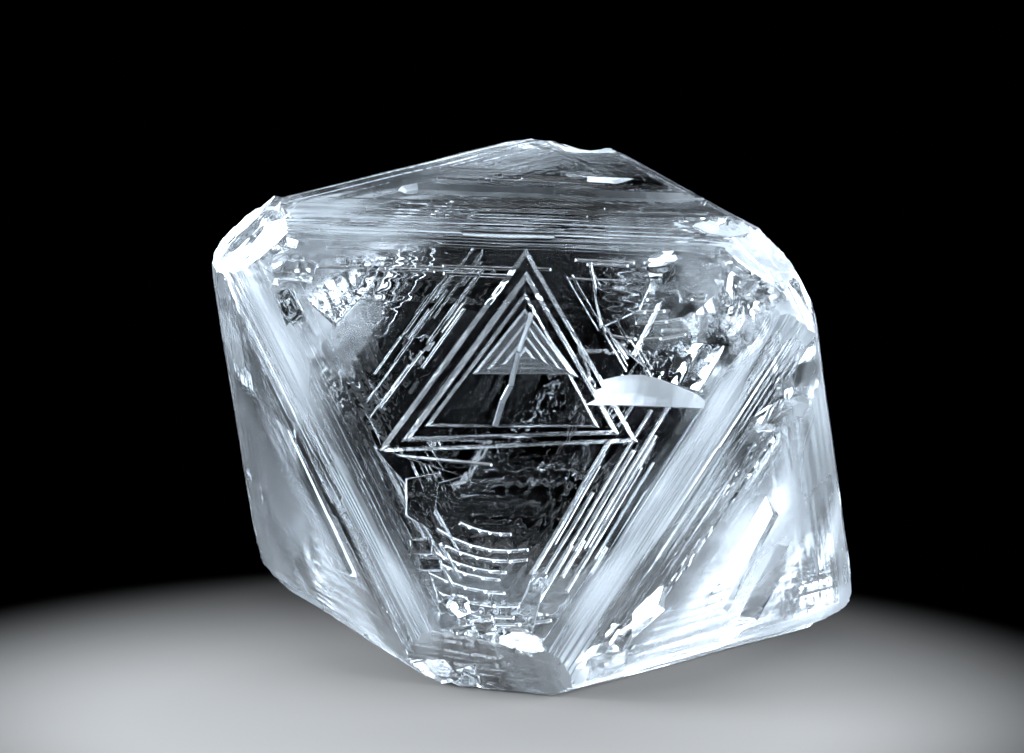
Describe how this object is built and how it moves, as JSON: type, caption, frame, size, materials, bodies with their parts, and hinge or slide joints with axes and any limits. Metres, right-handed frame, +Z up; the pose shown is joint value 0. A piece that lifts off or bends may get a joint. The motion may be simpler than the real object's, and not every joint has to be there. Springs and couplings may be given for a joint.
{
  "type": "rough diamond",
  "caption": "Uncut octahedral diamond crystal lying on one face, with stepped growth layers, blunt corners and a nested triangular etch pit on its front face.",
  "frame": {"origin": "on the ground, under the middle of the crystal's bounding box", "axes": "+Z up from the octahedral face it rests on; -Y towards the face that carries the trigon; +X to the right seen from there"},
  "size_m": [0.0088, 0.0092, 0.0065],
  "materials": {
    "diamond": "clear colourless crystal, IOR 2.417, satin frost on the corners and edge steps"
  },
  "bodies": {
    "root": {"rough_diamond": "diamond"}
  },
  "joints": []
}
